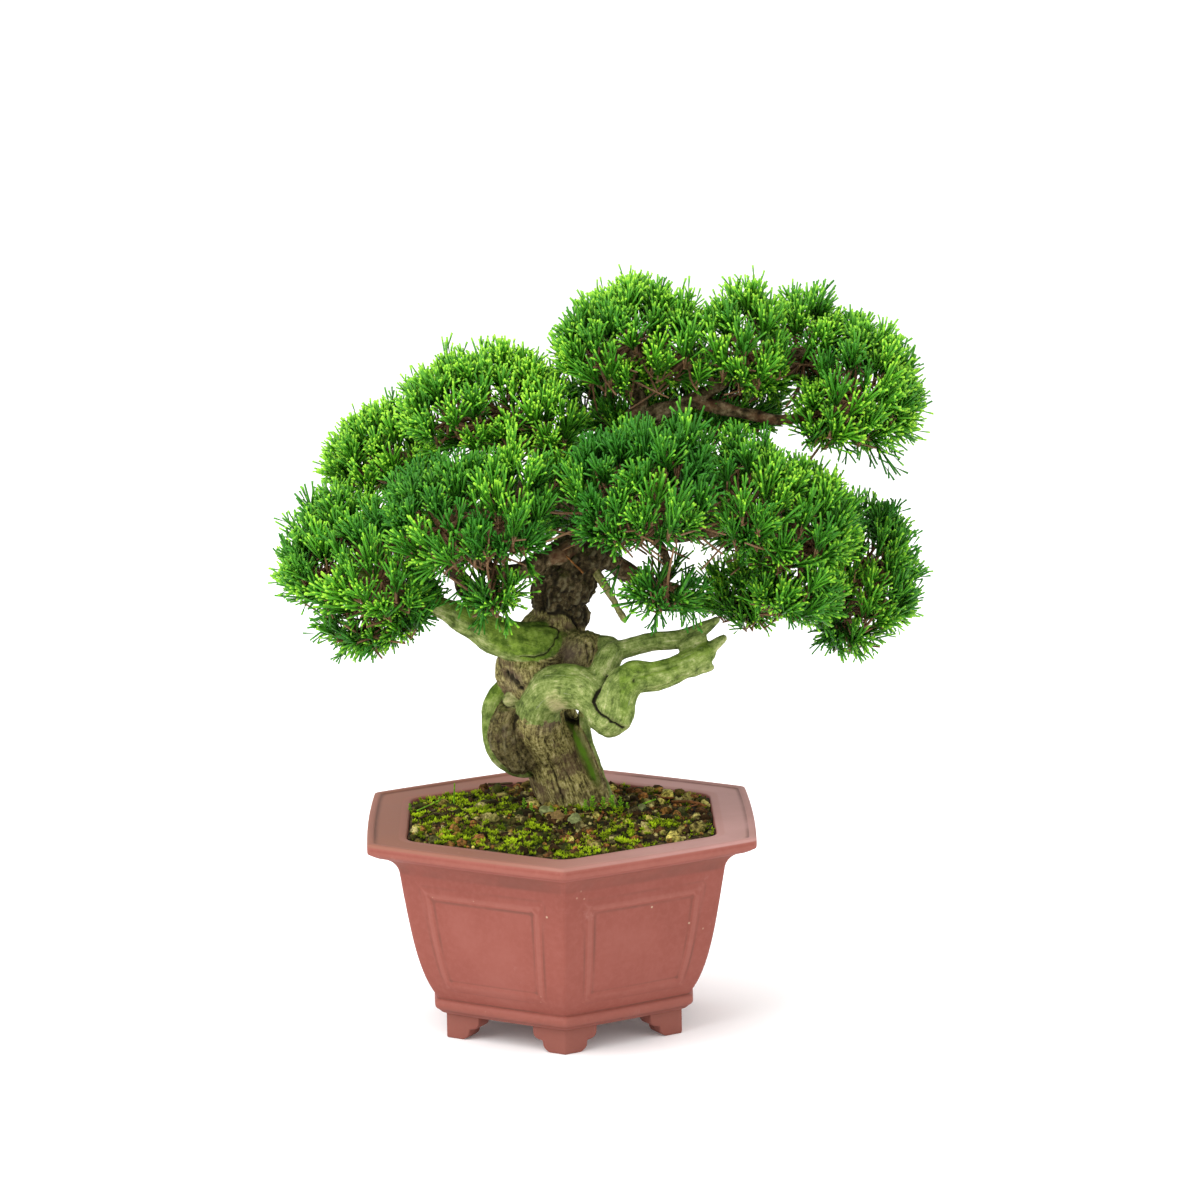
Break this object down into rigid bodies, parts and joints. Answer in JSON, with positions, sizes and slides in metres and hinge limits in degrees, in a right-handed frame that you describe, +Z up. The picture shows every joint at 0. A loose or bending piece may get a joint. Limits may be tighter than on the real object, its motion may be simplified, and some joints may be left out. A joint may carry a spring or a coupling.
{
  "type": "chinese juniper bonsai",
  "caption": "Small old juniper with a twisted trunk, bare deadwood and pads of fine green shoots, growing in soil in a hexagonal unglazed clay pot on scalloped feet.",
  "frame": {"origin": "under the middle of the bounding box, on the surface that the pot stands on", "axes": "+Z up, -Y towards the viewer and the pot's front corner, +X to the viewer's right"},
  "size_m": [0.2684, 0.181, 0.3075],
  "materials": {
    "clay": "unglazed, matte, pinkish brick red",
    "netting": "matte dark plastic net",
    "soil": "rough fired clay grains, pebbles and moss",
    "bark": "fluted dry bark, and smooth deadwood with a green tint",
    "foliage": "waxy scale leaves, yellow-green at the tips"
  },
  "bodies": {
    "root": {"pot": "clay", "drain_mesh": "netting", "soil": "soil", "tree": "bark", "foliage_crown_left": "foliage", "foliage_crown_middle": "foliage", "foliage_crown_right": "foliage", "foliage_crown_back": "foliage", "foliage_upper_left": "foliage", "foliage_back_left": "foliage", "foliage_low_left": "foliage", "foliage_mid_left": "foliage", "foliage_centre": "foliage", "foliage_front_hanging": "foliage", "foliage_mid_right": "foliage", "foliage_low_right": "foliage", "foliage_low_right_inner": "foliage", "foliage_back_centre": "foliage", "foliage_back_right": "foliage", "foliage_back_low_left": "foliage"}
  },
  "joints": []
}
